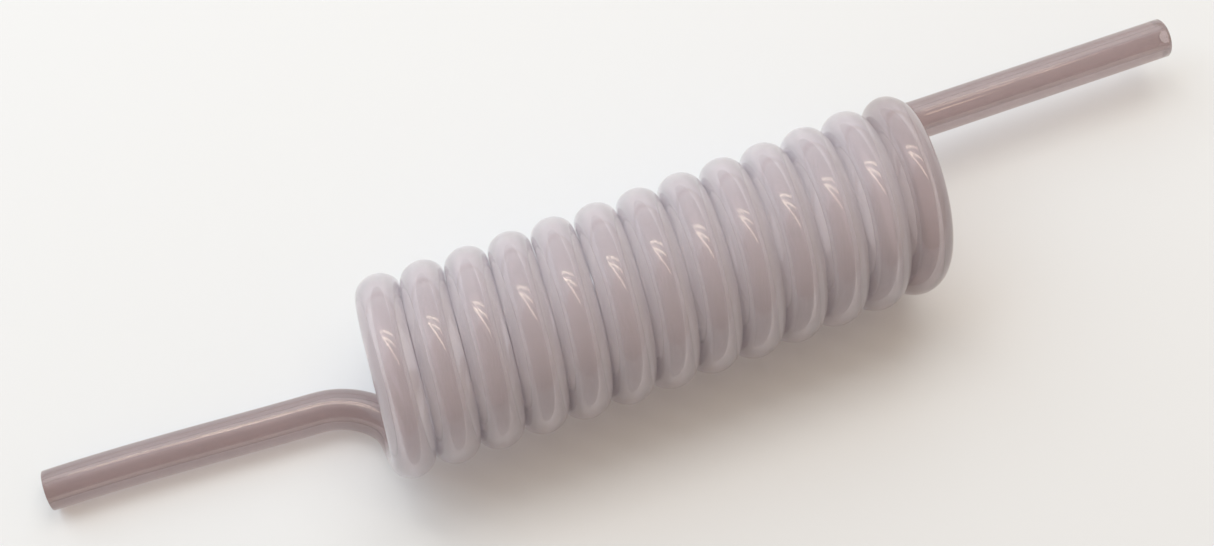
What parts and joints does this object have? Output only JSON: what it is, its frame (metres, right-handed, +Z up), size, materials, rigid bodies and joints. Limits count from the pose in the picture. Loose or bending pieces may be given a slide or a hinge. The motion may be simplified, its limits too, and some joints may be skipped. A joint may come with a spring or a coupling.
{
  "type": "immersion wort chiller",
  "caption": "Close coil of milky translucent plastic tube with a straight, open tail at each side. Liquid runs through it to be cooled or warmed, and the coil stretches and springs back.",
  "frame": {"origin": "on the surface that the coil lies on, under the middle of the whole tube's box", "axes": "+X along the coil from the inlet tail to the outlet tail, +Z up, -Y the side where the first turn comes up"},
  "size_m": [0.2378, 0.0392, 0.0385],
  "materials": {
    "milky_tube": "smooth, milky and translucent"
  },
  "bodies": {
    "inlet_end": {"inlet_tail": "milky_tube", "inlet_elbow": "milky_tube", "turn_01": "milky_tube"},
    "coil_turn_02": {"turn_02": "milky_tube"},
    "coil_turn_03": {"turn_03": "milky_tube"},
    "coil_turn_04": {"turn_04": "milky_tube"},
    "coil_turn_05": {"turn_05": "milky_tube"},
    "coil_turn_06": {"turn_06": "milky_tube"},
    "coil_turn_07": {"turn_07": "milky_tube"},
    "coil_turn_08": {"turn_08": "milky_tube"},
    "coil_turn_09": {"turn_09": "milky_tube"},
    "coil_turn_10": {"turn_10": "milky_tube"},
    "coil_turn_11": {"turn_11": "milky_tube"},
    "coil_turn_12": {"turn_12": "milky_tube"},
    "outlet_end": {"turn_13": "milky_tube", "outlet_elbow": "milky_tube", "outlet_tail": "milky_tube"}
  },
  "joints": [
    {"name": "coil_stretch", "type": "slide", "parent": "inlet_end", "child": "outlet_end", "axis": [1, 0, 0], "range_m": [0, 0.1], "stiffness_N_per_m": 160},
    {"name": "turn_02_opens", "type": "slide", "parent": "inlet_end", "child": "coil_turn_02", "axis": [1, 0, 0], "range_m": [0, 0.00834]},
    {"name": "turn_03_opens", "type": "slide", "parent": "inlet_end", "child": "coil_turn_03", "axis": [1, 0, 0], "range_m": [0, 0.01667]},
    {"name": "turn_04_opens", "type": "slide", "parent": "inlet_end", "child": "coil_turn_04", "axis": [1, 0, 0], "range_m": [0, 0.02501]},
    {"name": "turn_05_opens", "type": "slide", "parent": "inlet_end", "child": "coil_turn_05", "axis": [1, 0, 0], "range_m": [0, 0.03334]},
    {"name": "turn_06_opens", "type": "slide", "parent": "inlet_end", "child": "coil_turn_06", "axis": [1, 0, 0], "range_m": [0, 0.04167]},
    {"name": "turn_07_opens", "type": "slide", "parent": "inlet_end", "child": "coil_turn_07", "axis": [1, 0, 0], "range_m": [0, 0.05001]},
    {"name": "turn_08_opens", "type": "slide", "parent": "inlet_end", "child": "coil_turn_08", "axis": [1, 0, 0], "range_m": [0, 0.05834]},
    {"name": "turn_09_opens", "type": "slide", "parent": "inlet_end", "child": "coil_turn_09", "axis": [1, 0, 0], "range_m": [0, 0.06667]},
    {"name": "turn_10_opens", "type": "slide", "parent": "inlet_end", "child": "coil_turn_10", "axis": [1, 0, 0], "range_m": [0, 0.075]},
    {"name": "turn_11_opens", "type": "slide", "parent": "inlet_end", "child": "coil_turn_11", "axis": [1, 0, 0], "range_m": [0, 0.08334]},
    {"name": "turn_12_opens", "type": "slide", "parent": "inlet_end", "child": "coil_turn_12", "axis": [1, 0, 0], "range_m": [0, 0.09167]}
  ],
  "couplings": [
    {"joint": "turn_02_opens", "follows": "coil_stretch", "ratio": 0.083333},
    {"joint": "turn_03_opens", "follows": "coil_stretch", "ratio": 0.16667},
    {"joint": "turn_04_opens", "follows": "coil_stretch", "ratio": 0.25},
    {"joint": "turn_05_opens", "follows": "coil_stretch", "ratio": 0.33333},
    {"joint": "turn_06_opens", "follows": "coil_stretch", "ratio": 0.41667},
    {"joint": "turn_07_opens", "follows": "coil_stretch", "ratio": 0.5},
    {"joint": "turn_08_opens", "follows": "coil_stretch", "ratio": 0.58333},
    {"joint": "turn_09_opens", "follows": "coil_stretch", "ratio": 0.66667},
    {"joint": "turn_10_opens", "follows": "coil_stretch", "ratio": 0.75},
    {"joint": "turn_11_opens", "follows": "coil_stretch", "ratio": 0.83333},
    {"joint": "turn_12_opens", "follows": "coil_stretch", "ratio": 0.91667}
  ]
}
